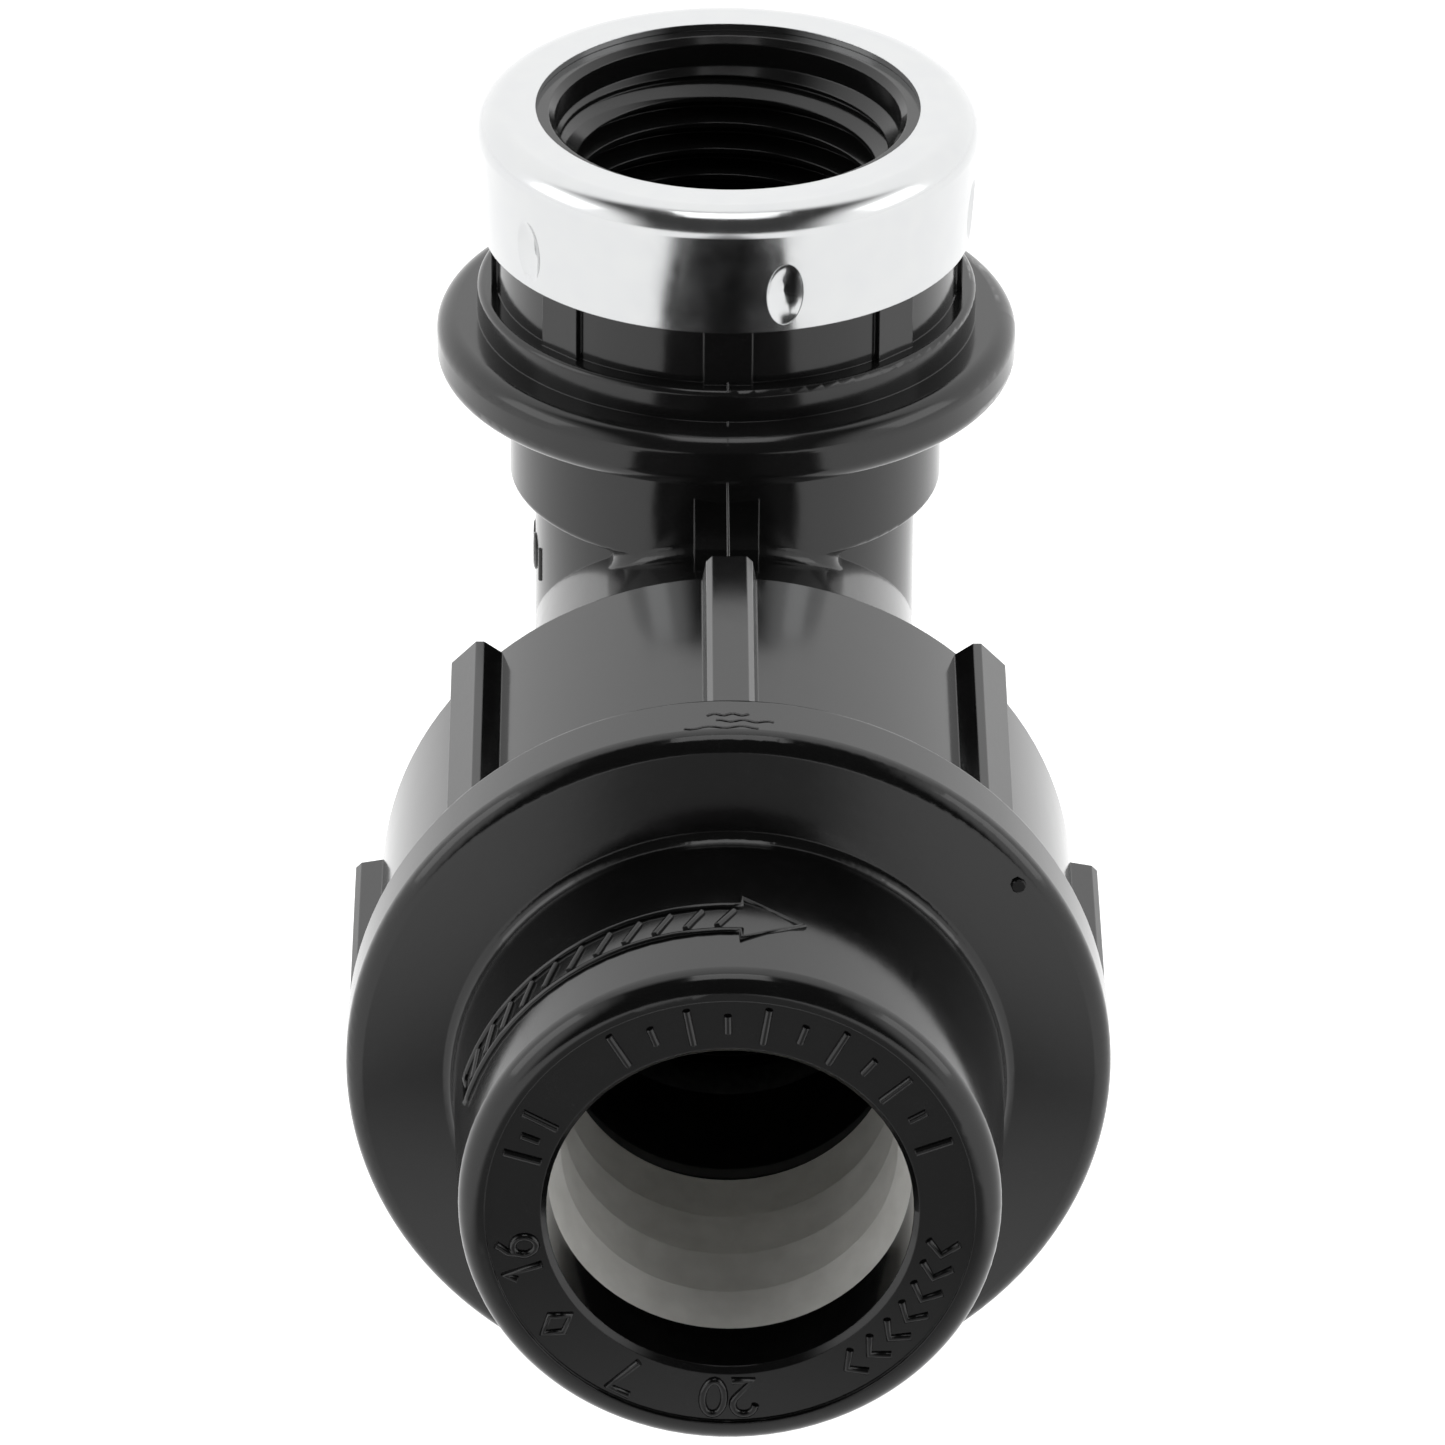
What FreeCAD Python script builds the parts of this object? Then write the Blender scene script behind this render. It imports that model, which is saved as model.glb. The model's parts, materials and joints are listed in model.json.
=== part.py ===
"""Compression fitting: a 90 degree female elbow that joins 20 mm plastic pipe to a G 1/2 thread.

Six pieces, as they come apart on a bench:
    elbow_body        moulded body: threaded port, knee and barrel with the nut's outside thread
    reinforcing_ring  steel cap pressed over the threaded port
    o_ring            seal that sits in the barrel
    packing_bush      bush that presses the seal
    grip_ring         split ring whose teeth hold the pipe
    compression_nut   nut whose inner cone closes the grip ring

Every piece is drawn in one working frame whose origin is the crossing of the two axes: local Y
runs up the port and local Z runs along the pipe, out of the nut. "Up" below is along local Y,
"out" is along local Z. The placement then turns local Z to -Y and local Y to +Z, and puts the
row's origin at the middle of the port's mouth.
"""

import FreeCAD, Part
import os

import Sketcher

PARTS_FOLDER = "parts"
SHEET = "size"
NUT_RIBS = 8
CRUSH_RIBS = 8
STAKE_MARKS = 5
TEETH = 4

# name, value in mm (degrees where the note says so), what it is
SIZES = [
    # pipe
    ("pipe_radius", 10.0, "outside radius of the pipe that the fitting holds"),
    ("pipe_clearance", 0.15, "between the pipe and the body's socket"),
    ("waterway_radius", 8.0, "bore that the water runs through"),
    # port: heights above the pipe's axis
    ("port_height", 35.9, "end face of the plastic port"),
    ("port_wall", 3.65, "wall of the port round its plain mouth"),
    ("bead_step", 1.2, "how far the step under the ring stands out from the port"),
    ("bead_top", 24.3, "height of the step"),
    ("flange_step", 2.55, "how far the flange stands out from that step"),
    ("flange_top", 22.2, "height of the flange's upper face"),
    ("flange_bottom", 18.6, "height of the flange's lower face"),
    ("flange_round", 1.2, "rounding of the flange's edges"),
    ("collar_step", 1.6, "how far the collar under the flange stands out from the column"),
    ("collar_root", 0.8, "fillet where the collar meets the barrel"),
    ("collar_bottom", 10.9, "height of the collar's lower end"),
    ("edge_round", 0.4, "small moulded edges"),
    ("gusset_width", 4.0, "web that props the collar on the barrel"),
    ("gusset_reach", 15.8, "how far the web stands out from the port's axis"),
    ("gusset_face", 1.4, "height of the web's upright front above the barrel"),
    # port thread, G 1/2: 14 threads to the inch, 55 degrees
    ("port_pitch", 1.814, "pitch of the thread"),
    ("port_root_radius", 10.53, "bottom of the thread's groove"),
    ("port_thread_depth", 1.18, "height of the thread's ridge"),
    ("port_crest_width", 0.3, "flat on top of the ridge"),
    ("port_flank", 27.5, "half of the thread's angle, degrees"),
    ("land_step", 0.27, "how much wider the plain wall is than the thread's groove, in radius"),
    ("port_land", 1.9, "depth of the plain wall's lower end below the mouth"),
    ("port_depth", 16.5, "depth of the port's floor below its mouth"),
    ("port_relief", 1.4, "length of the clear groove under the thread"),
    # steel ring
    ("cap_wall", 0.45, "thickness of the sheet"),
    ("cap_draft", 0.4, "how much wider the ring is at its top, in radius"),
    ("crush_height", 0.38, "how far the crush ribs stand out from the port"),
    ("cap_setback", 1.2, "from the port's plain wall to the ring's hole"),
    ("cap_height", 8.2, "height of the whole ring"),
    ("cap_round", 1.6, "outside radius of the pressed bend"),
    ("cap_gap", 0.02, "between the crush ribs and the ring"),
    ("crush_width", 3.0, "width of one crush rib"),
    ("stake_radius", 1.8, "radius across the nose of the punch that marks the skirt"),
    ("stake_long", 3.2, "half length of that nose"),
    ("stake_depth", 0.3, "depth of one punch mark"),
    ("stake_lift", 2.3, "height of the punch marks above the ring's lower edge"),
    ("stake_start", -119.0, "angle of the first mark from the front, degrees"),
    ("stake_span", 264.0, "angle from the first mark to the last, degrees"),
    # barrel: distances out from the port's axis
    ("body_mouth", 47.6, "end face of the barrel"),
    ("socket_wall", 1.85, "wall of the barrel round the pipe"),
    ("seat_depth", 10.0, "from the end face to the seal's seat"),
    ("pipe_guide", 12.0, "from the seal's seat to the pipe's stop"),
    ("barrel_flare", 0.5, "length of the steep shoulder that widens to the thread"),
    # nut thread
    ("nut_lead", 3.0, "how far one turn moves the nut"),
    ("barrel_wall", 3.95, "between the seal's seat and the bottom of the barrel's thread"),
    ("nut_thread_depth", 1.2, "height of the barrel's ridge"),
    ("nut_thread_crest", 1.2, "flat on top of the barrel's ridge"),
    ("nut_thread_flank", 20.0, "slope of both flanks, degrees"),
    ("nut_thread_gap", 0.2, "between the two threads, on crests and flanks"),
    ("body_thread_length", 12.5, "length of the barrel's thread"),
    ("thread_relief", 0.6, "length of the clear groove behind the barrel's thread"),
    ("relief_step", 0.2, "how much deeper a clear groove is than the thread beside it"),
    # seal and bush
    ("seal_section", 3.86, "thickness of the seal's round section"),
    ("seal_nip", 0.03, "how much smaller the seal's hole is than the pipe, in radius"),
    ("seal_gap", 0.12, "between the seal and the seat around it"),
    ("seal_float", 0.64, "from the seal to the bush, before tightening"),
    ("tighten_travel", 1.6, "how far the nut moves in from rest"),
    ("stop_gap", 0.05, "left between bush and body when tight"),
    ("bush_gap", 0.1, "between the bush and the seat around it"),
    ("bush_clearance", 0.3, "between the pipe and the bush"),
    ("bush_rim", 2.65, "how far the bush's flange stands out past the seat"),
    ("bush_flange", 2.15, "thickness of the bush's flange"),
    ("stack_gap", 0.15, "between the bush and the grip ring"),
    # grip ring
    ("grip_length", 17.05, "length of the grip ring"),
    ("grip_end_gap", 0.1, "between the grip ring's front and the nut"),
    ("grip_gap", 0.3, "between the grip ring and the nut's cone, in radius"),
    ("tooth_lead", 0.9, "how far the grip ring's mouth opens past its teeth, in radius"),
    ("tooth_bite", 0.1, "how much smaller the teeth are than the pipe, in radius"),
    ("tooth_height", 1.0, "height of one tooth"),
    ("tooth_pitch", 4.28, "from tip to tip"),
    ("tooth_back", 0.4, "length of a tooth's steep side"),
    ("first_tip", 2.8, "from the ring's front to its first tip"),
    ("split_width", 3.0, "width of the slot through the ring"),
    # nut
    ("nut_overhang", 1.1, "how far the nut's skirt reaches past the barrel's thread"),
    ("skirt_wall", 1.75, "nut's wall over the bottom of its thread"),
    ("rib_height", 1.6, "how far the nut's ribs stand up"),
    ("rib_width", 2.8, "width of one rib at its top"),
    ("rib_draft", 9.0, "slope of the ribs' sides, degrees"),
    ("rib_bevel", 0.35, "bevel along the ribs' edges"),
    ("rib_setback", 0.25, "from the nut's rear edge to its ribs"),
    ("rim_height", 1.7, "how far the nut's flange stands up"),
    ("rim_setback", 0.65, "from the nut's cavity to its flange"),
    ("rim_thickness", 4.75, "thickness of the flange at its rim"),
    ("rim_rear_round", 0.4, "rounding of the flange's rear edge"),
    ("rim_front_round", 1.2, "rounding of the flange's front edge"),
    ("neck_root_round", 0.7, "fillet where the neck leaves the flange"),
    ("neck_draft", 0.6, "how much wider the neck is beside the flange, in radius"),
    ("neck_base", 5.8, "from the flange's rear to the neck"),
    ("neck_wall", 3.8, "thickness of the neck round the nut's cone, at its front"),
    ("neck_round", 1.4, "rounding of the neck's front edge"),
    ("entry_clearance", 0.7, "between the pipe and the hole in the nut's front"),
    ("nut_land", 4.8, "length of that hole"),
    ("nut_bore_edge", 0.35, "chamfer at the hole's mouth"),
    ("face_margin", 1.5, "from the neck's outside to the sunk ring on the front face"),
    ("face_sink", 0.25, "how deep that ring is sunk"),
    ("grip_front_wall", 0.9, "thickness of the grip ring at its front"),
    ("grip_rear_wall", 3.7, "thickness of the grip ring at its rear"),
    ("cavity_gap", 0.2, "from the grip ring to the wide part of the nut"),
    ("cavity_room", 0.3, "from the bush's flange to the nut's thread, when the nut is tight"),
]

# places that more than one piece uses, each worked out from the sizes above
PLACES = [
    ("pipe_bore_radius", "=pipe_radius + pipe_clearance"),
    ("barrel_radius", "=pipe_bore_radius + socket_wall"),
    ("collar_radius", "=barrel_radius + collar_step"),
    ("port_crest_radius", "=port_root_radius - port_thread_depth"),
    ("port_land_radius", "=port_root_radius + land_step"),
    ("socket_radius", "=port_land_radius + port_wall"),
    ("bead_radius", "=socket_radius + bead_step"),
    ("flange_radius", "=bead_radius + flange_step"),
    ("cap_opening", "=port_land_radius + cap_setback"),
    ("cap_skirt_radius", "=socket_radius + crush_height + cap_gap + cap_wall"),
    ("cap_top_radius", "=cap_skirt_radius + cap_draft"),
    ("cap_top", "=port_height + cap_wall"),
    ("cap_foot", "=cap_top - cap_height"),
    ("stake_height", "=cap_foot + stake_lift"),
    ("seat_start", "=body_mouth - seat_depth"),
    ("pipe_stop", "=seat_start - pipe_guide"),
    ("seat_radius", "=pipe_radius - seal_nip + seal_section + seal_gap"),
    ("thread_start", "=body_mouth - body_thread_length"),
    ("thread_root_radius", "=seat_radius + barrel_wall"),
    ("nut_thread_radius", "=thread_root_radius + nut_thread_depth"),
    ("nut_crest_radius", "=thread_root_radius + nut_thread_gap"),
    ("nut_root_radius", "=nut_thread_radius + nut_thread_gap"),
    ("cavity_radius", "=nut_root_radius + relief_step"),
    ("skirt_radius", "=nut_root_radius + skirt_wall"),
    ("rib_radius", "=skirt_radius + rib_height"),
    ("rim_radius", "=skirt_radius + rim_height"),
    ("bush_rear", "=seat_start + seal_section + seal_float"),
    ("bush_flange_rear", "=body_mouth + tighten_travel + stop_gap"),
    ("bush_front", "=bush_flange_rear + bush_flange"),
    ("grip_rear", "=bush_front + stack_gap"),
    ("grip_front", "=grip_rear + grip_length"),
    ("tooth_tip_radius", "=pipe_radius - tooth_bite"),
    ("tooth_root_radius", "=tooth_tip_radius + tooth_height"),
    ("grip_mouth_radius", "=tooth_tip_radius + tooth_lead"),
    ("cone_front_radius", "=grip_mouth_radius + grip_front_wall + grip_gap"),
    ("cone_rear_radius", "=tooth_root_radius + grip_rear_wall + grip_gap"),
    ("nut_start", "=thread_start - nut_overhang"),
    ("cavity_end", "=grip_rear + cavity_gap"),
    ("rim_rear", "=cavity_end + rim_setback"),
    ("land_rear", "=grip_front + grip_end_gap"),
    ("nut_front", "=land_rear + nut_land"),
    ("nut_bore_radius", "=pipe_radius + entry_clearance"),
    ("neck_radius", "=cone_front_radius + neck_wall"),
    ("neck_base_radius", "=neck_radius + neck_draft"),
    ("face_radius", "=neck_radius - face_margin"),
]


def make_sheet(doc):
    """The spreadsheet of driving sizes and of the places worked out from them."""
    sheet = doc.addObject("Spreadsheet::Sheet", SHEET)
    row = 1
    for name, number, note in SIZES:
        sheet.set(f"A{row}", name)
        sheet.set(f"B{row}", str(number))
        sheet.set(f"C{row}", note)
        sheet.setAlias(f"B{row}", name)
        row += 1
    for name, formula in PLACES:
        sheet.set(f"A{row}", name)
        sheet.set(f"B{row}", formula)
        sheet.setAlias(f"B{row}", name)
        row += 1
    doc.recompute()
    return sheet


class Piece:
    """One sub-part: a PartDesign body whose features take their sizes from the sheet."""

    def __init__(self, doc, label):
        self.doc = doc
        self.body = doc.addObject("PartDesign::Body", label)
        self.body.Label = label
        place(self.body)

    def plane(self, role):
        """The body's own origin plane of that role."""
        return next(f for f in self.body.Origin.OriginFeatures if f.Role == role)

    def number(self, formula):
        """The value of a formula, which may name the sheet's sizes."""
        return float(self.body.evalExpression(formula))

    def sketch(self, name, role, corners):
        """A closed outline of straight sides, each corner bound to a pair of formulas."""
        sketch = self.body.newObject("Sketcher::SketchObject", name)
        sketch.AttachmentSupport = (self.plane(role), [""])
        sketch.MapMode = "FlatFace"
        points = [FreeCAD.Vector(self.number(x), self.number(y), 0) for x, y in corners]
        count = len(points)
        for i in range(count):
            side = Part.LineSegment(points[i], points[(i + 1) % count])
            sketch.addGeometry(side, False)
        for i in range(count):
            sketch.addConstraint(Sketcher.Constraint("Coincident", i, 2, (i + 1) % count, 1))
        for i, (x, y) in enumerate(corners):
            self.fix(sketch, i, "DistanceX", points[i].x, x, -2)
            self.fix(sketch, i, "DistanceY", points[i].y, y, -1)
        return sketch

    def fix(self, sketch, corner, kind, number, formula, axis):
        """Tie one coordinate of a corner to its formula, or to the axis where it is zero."""
        if formula == "0":
            sketch.addConstraint(Sketcher.Constraint("PointOnObject", corner, 1, axis))
            return
        tie = sketch.addConstraint(Sketcher.Constraint(kind, -1, 1, corner, 1, number))
        sketch.setExpression(f"Constraints[{tie}]", formula)

    def feature(self, kind, name, **values):
        """Add a feature; text values that name the sheet become expressions."""
        made = self.body.newObject(f"PartDesign::{kind}", name)
        for key, value in values.items():
            if isinstance(value, str) and SHEET in value:
                made.setExpression(key, value)
            else:
                setattr(made, key, value)
        self.body.Tip = made
        self.doc.recompute()
        return made

    def turn(self, name, role, corners, cut=False):
        """Revolve an outline about its sketch's upright axis, adding or cutting."""
        sketch = self.sketch(name + "_outline", role, corners)
        kind = "Groove" if cut else "Revolution"
        before = 0 if self.body.Shape.isNull() else self.body.Shape.Volume
        made = self.feature(kind, name, Profile=sketch, ReferenceAxis=(sketch, ["V_Axis"]), Angle=360)
        self.check_volume(made, before, cut)
        return made

    def check_volume(self, made, before, cut):
        """Stop if a cut removed nothing or an addition added nothing."""
        after = made.Shape.Volume
        if (after < before) != cut:
            raise RuntimeError(f"{made.Name} changed the volume from {before:.1f} to {after:.1f}")

    def thread_groove(self, name, role, corners, lead, length):
        """Cut a right-hand helical groove of the outline's section."""
        sketch = self.sketch(name + "_section", role, corners)
        before = self.body.Shape.Volume
        made = self.feature(
            "SubtractiveHelix", name, Profile=sketch, ReferenceAxis=(sketch, ["V_Axis"]),
            Mode=0, Pitch=lead, Height=length, LeftHanded=False,
        )
        self.check_volume(made, before, True)

    def around(self, name, original, role, count, angle):
        """Repeat a feature about one of the body's axes."""
        axis = next(f for f in self.body.Origin.OriginFeatures if f.Role == role)
        return self.feature(
            "PolarPattern", name, Originals=[original], Axis=(axis, [""]),
            Occurrences=count, Angle=angle,
        )

    def soften(self, name, axis, circles, radius):
        """Round the circular edges of the given (radius, place) pairs about an axis."""
        wanted = [(self.number(r), self.number(place)) for r, place in circles]
        edges = []
        for i, edge in enumerate(self.body.Tip.Shape.Edges, start=1):
            if not isinstance(edge.Curve, Part.Circle):
                continue
            centre = edge.Curve.Center
            for r, spot in wanted:
                if abs(edge.Curve.Radius - r) < 1e-4 and abs(centre.dot(axis) - spot) < 1e-4:
                    edges.append(f"Edge{i}")
        if len(edges) < len(circles):
            raise RuntimeError(f"{name} found {len(edges)} of {len(circles)} edges")
        return self.feature("Fillet", name, Base=(self.body.Tip, edges), Radius=radius)

    def fill_corner(self, name, upright, lying, radius):
        """Fillet the corner between an upright cylinder and a lying one, given their radii."""
        wanted = {self.number(upright), self.number(lying)}
        shape = self.body.Tip.Shape
        edges = []
        for i, edge in enumerate(shape.Edges, start=1):
            sides = shape.ancestorsOfType(edge, Part.Face)
            radii = {round(s.Surface.Radius, 6) for s in sides if isinstance(s.Surface, Part.Cylinder)}
            if radii == wanted:
                edges.append(f"Edge{i}")
        if not edges:
            raise RuntimeError(f"{name} found no edge")
        return self.feature("Fillet", name, Base=(self.body.Tip, edges), Radius=radius)


UP = FreeCAD.Vector(0, 1, 0)
OUT = FreeCAD.Vector(0, 0, 1)


def place(thing):
    """Turn the working frame into the row's: local Z to -Y, local Y to +Z, origin at the mouth."""
    thing.Placement = FreeCAD.Placement(FreeCAD.Vector(), FreeCAD.Rotation(FreeCAD.Vector(1, 0, 0), 90))
    thing.setExpression("Placement.Base.z", f"-{SHEET}.port_height")


def size(name):
    """A formula that reads one size."""
    return f"{SHEET}.{name}"


def make_body(doc):
    """The moulded elbow, with both threads and the pipe's socket."""
    piece = Piece(doc, "elbow_body")
    piece.turn("port_outside", "XY_Plane", [
        ("0", "0"),
        (size("barrel_radius"), "0"),
        (size("barrel_radius"), size("collar_bottom")),
        (size("collar_radius"), size("collar_bottom")),
        (size("collar_radius"), size("flange_bottom")),
        (size("flange_radius"), size("flange_bottom")),
        (size("flange_radius"), size("flange_top")),
        (size("bead_radius"), size("flange_top")),
        (size("bead_radius"), size("bead_top")),
        (size("socket_radius"), size("bead_top")),
        (size("socket_radius"), size("port_height")),
        ("0", size("port_height")),
    ])
    piece.soften("flange_edges", UP, [
        (size("flange_radius"), size("flange_bottom")),
        (size("flange_radius"), size("flange_top")),
    ], size("flange_round"))
    piece.soften("small_edges", UP, [
        (size("bead_radius"), size("bead_top")),
        (size("collar_radius"), size("collar_bottom")),
    ], size("edge_round"))
    piece.soften("mouth_edge", UP, [(size("socket_radius"), size("port_height"))], size("flange_round"))
    piece.feature("AdditiveSphere", "knee", Radius=size("barrel_radius"))
    relief = f"{size('thread_root_radius')} - {size('relief_step')}"
    flare_end = f"{size('thread_start')} - {size('thread_relief')}"
    chamfered = f"{size('body_mouth')} - {size('nut_thread_depth')}"
    piece.turn("barrel_outside", "XZ_Plane", [
        ("0", "0"),
        (size("barrel_radius"), "0"),
        (size("barrel_radius"), f"{flare_end} - {size('barrel_flare')}"),
        (relief, flare_end),
        (relief, size("thread_start")),
        (size("nut_thread_radius"), size("thread_start")),
        (size("nut_thread_radius"), chamfered),
        (size("thread_root_radius"), size("body_mouth")),
        ("0", size("body_mouth")),
    ])
    piece.fill_corner("collar_fillet", size("collar_radius"), size("barrel_radius"), size("collar_root"))
    add_gusset(piece)
    add_crush_ribs(piece)
    bore_port(piece)
    bore_barrel(piece)
    piece.feature("SubtractiveSphere", "knee_waterway", Radius=size("waterway_radius"))
    cut_port_thread(piece)
    cut_barrel_thread(piece)
    return piece.body


def add_gusset(piece):
    """The web that props the collar on the barrel: an upright front under a 45 degree slope."""
    foot = f"{size('barrel_radius')} - {size('gusset_face')}"
    shoulder = f"{size('barrel_radius')} + {size('gusset_face')}"
    inside = f"{size('collar_radius')} - {size('collar_root')}"
    web = piece.sketch("gusset_outline", "YZ_Plane", [
        (foot, inside),
        (foot, size("gusset_reach")),
        (shoulder, size("gusset_reach")),
        (f"{shoulder} + {size('gusset_reach')} - ({inside})", inside),
    ])
    piece.feature("Pad", "gusset", Profile=web, Length=size("gusset_width"), Midplane=True)


def add_crush_ribs(piece):
    """Flat strips up the port that the steel ring is pressed over."""
    inside = f"{size('cap_skirt_radius')} - {size('cap_wall')} - {size('cap_gap')}"
    flat = f"sqrt(({inside})^2 - ({size('crush_width')} / 2)^2)"
    root = f"{size('socket_radius')} - {size('crush_width')} / 2"
    top = f"{size('port_height')} - {size('cap_round')}"
    strip = piece.sketch("crush_outline", "XY_Plane", [
        (root, size("bead_top")),
        (flat, size("bead_top")),
        (flat, top),
        (root, top),
    ])
    rib = piece.feature("Pad", "crush_rib", Profile=strip, Length=size("crush_width"), Midplane=True)
    piece.around("crush_ribs", rib, "Y_Axis", CRUSH_RIBS, 360)


def bore_port(piece):
    """The hollow of the threaded port, down to the knee."""
    floor = f"{size('port_height')} - {size('port_depth')}"
    relief_radius = f"{size('port_root_radius')} + {size('relief_step')}"
    relief_top = f"{floor} + {size('port_relief')}"
    land_bottom = f"{size('port_height')} - {size('port_land')}"
    lead_in = f"({size('port_land_radius')} - {size('port_crest_radius')})"
    lead_out = f"({relief_radius} - {size('port_crest_radius')})"
    piece.turn("port_bore", "XY_Plane", [
        ("0", "0"),
        (size("waterway_radius"), "0"),
        (size("waterway_radius"), floor),
        (relief_radius, floor),
        (relief_radius, relief_top),
        (size("port_crest_radius"), f"{relief_top} + {lead_out}"),
        (size("port_crest_radius"), f"{land_bottom} - {lead_in}"),
        (size("port_land_radius"), land_bottom),
        (size("port_land_radius"), f"{size('port_height')} - {size('edge_round')}"),
        (f"{size('port_land_radius')} + {size('edge_round')}", size("port_height")),
        ("0", size("port_height")),
    ], cut=True)


def bore_barrel(piece):
    """The pipe's socket, the seal's seat and the waterway behind them."""
    piece.turn("barrel_bore", "XZ_Plane", [
        ("0", "0"),
        (size("waterway_radius"), "0"),
        (size("waterway_radius"), size("pipe_stop")),
        (size("pipe_bore_radius"), size("pipe_stop")),
        (size("pipe_bore_radius"), size("seat_start")),
        (size("seat_radius"), size("seat_start")),
        (size("seat_radius"), f"{size('body_mouth')} - {size('edge_round')}"),
        (f"{size('seat_radius')} + {size('edge_round')}", size("body_mouth")),
        ("0", size("body_mouth")),
    ], cut=True)


def cut_port_thread(piece):
    """The G 1/2 inside thread, cut from the clear groove up into the plain mouth."""
    slope = f"tan({size('port_flank')})"
    overshoot = size("relief_step")
    middle = f"({size('port_height')} - {size('port_depth')} + {size('port_relief')} / 2)"
    wide = f"(({size('port_pitch')} - {size('port_crest_width')}) / 2)"
    at_crest = f"({wide} + {overshoot} * {slope})"
    at_root = f"({wide} - ({size('port_root_radius')} - {size('port_crest_radius')}) * {slope})"
    inner = f"{size('port_crest_radius')} - {overshoot}"
    length = f"{size('port_depth')} - {size('port_land')} / 2 - {size('port_relief')} / 2"
    piece.thread_groove("port_thread", "XY_Plane", [
        (inner, f"{middle} - {at_crest}"),
        (size("port_root_radius"), f"{middle} - {at_root}"),
        (size("port_root_radius"), f"{middle} + {at_root}"),
        (inner, f"{middle} + {at_crest}"),
    ], size("port_pitch"), length)


def first_groove():
    """Where the barrel's groove starts, in the clear groove behind its thread."""
    return f"({size('thread_start')} - {size('thread_relief')} / 2 - {size('nut_lead')} / 2)"


def ridge_half_width(radius):
    """Half the width of the barrel's ridge at a radius, extended past its crest where asked."""
    slope = f"tan({size('nut_thread_flank')})"
    return f"({size('nut_thread_crest')} / 2 + ({size('nut_thread_radius')} - ({radius})) * {slope})"


def cut_barrel_thread(piece):
    """The outside thread that the nut runs on: the groove between its ridges."""
    outer = f"({size('nut_thread_radius')} + {size('relief_step')})"
    middle = first_groove()
    half = f"({size('nut_lead')} / 2)"
    at_root = f"({half} - {ridge_half_width(size('thread_root_radius'))})"
    at_crest = f"({half} - {ridge_half_width(outer)})"
    length = f"{size('body_mouth')} + {size('nut_lead')} - {middle}"
    piece.thread_groove("barrel_thread", "XZ_Plane", [
        (size("thread_root_radius"), f"{middle} - {at_root}"),
        (outer, f"{middle} - {at_crest}"),
        (outer, f"{middle} + {at_crest}"),
        (size("thread_root_radius"), f"{middle} + {at_root}"),
    ], size("nut_lead"), length)


def make_cap(doc):
    """The pressed steel ring over the port, with the marks of the punch that staked it."""
    piece = Piece(doc, "reinforcing_ring")
    bend = f"{size('cap_top')} - {size('cap_round')}"
    piece.turn("sheet", "XY_Plane", [
        (size("cap_opening"), size("port_height")),
        (f"{size('cap_top_radius')} - {size('cap_wall')}", size("port_height")),
        (f"{size('cap_top_radius')} - {size('cap_wall')}", bend),
        (f"{size('cap_skirt_radius')} - {size('cap_wall')}", size("cap_foot")),
        (size("cap_skirt_radius"), size("cap_foot")),
        (size("cap_top_radius"), bend),
        (size("cap_top_radius"), size("cap_top")),
        (size("cap_opening"), size("cap_top")),
    ])
    piece.soften("outer_bend", UP, [(size("cap_top_radius"), size("cap_top"))],
                 f"{size('cap_round')} - 0.01")
    piece.soften("inner_bend", UP, [
        (f"{size('cap_top_radius')} - {size('cap_wall')}", size("port_height")),
    ], f"{size('cap_round')} - {size('cap_wall')} - 0.01")
    stand_off = f"({size('cap_skirt_radius')} + {size('stake_radius')} - {size('stake_depth')})"
    punch = piece.feature(
        "SubtractiveEllipsoid", "punch_mark", Radius1=size("stake_radius"),
        Radius2=size("stake_radius"), Radius3=size("stake_long"),
    )
    punch.setExpression("Placement.Base.x", f"{stand_off} * sin({size('stake_start')})")
    punch.setExpression("Placement.Base.y", size("stake_height"))
    punch.setExpression("Placement.Base.z", f"{stand_off} * cos({size('stake_start')})")
    doc.recompute()
    piece.around("punch_marks", punch, "Y_Axis", STAKE_MARKS, size("stake_span"))
    return piece.body


def make_seal(doc):
    """The rubber ring in its seat, before it is squeezed."""
    seal = doc.addObject("Part::Torus", "o_ring")
    seal.Label = "o_ring"
    seal.setExpression("Radius2", f"{size('seal_section')} / 2")
    seal.setExpression("Radius1", f"{size('pipe_radius')} - {size('seal_nip')} + {size('seal_section')} / 2")
    place(seal)
    seal.setExpression("Placement.Base.y", f"-({size('seat_start')} + {size('seal_section')} / 2)")
    doc.recompute()
    return seal


def make_bush(doc):
    """The flanged bush between seal and grip ring."""
    piece = Piece(doc, "packing_bush")
    inner = f"({size('pipe_radius')} + {size('bush_clearance')})"
    sleeve = f"({size('seat_radius')} - {size('bush_gap')})"
    rim = f"({size('seat_radius')} + {size('bush_rim')})"
    chamfer = size("edge_round")
    piece.turn("bush", "XZ_Plane", [
        (inner, size("bush_rear")),
        (f"{sleeve} - {chamfer}", size("bush_rear")),
        (sleeve, f"{size('bush_rear')} + {chamfer}"),
        (sleeve, size("bush_flange_rear")),
        (rim, size("bush_flange_rear")),
        (rim, size("bush_front")),
        (f"{inner} + {chamfer}", size("bush_front")),
        (inner, f"{size('bush_front')} - {chamfer}"),
    ])
    return piece.body


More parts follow.
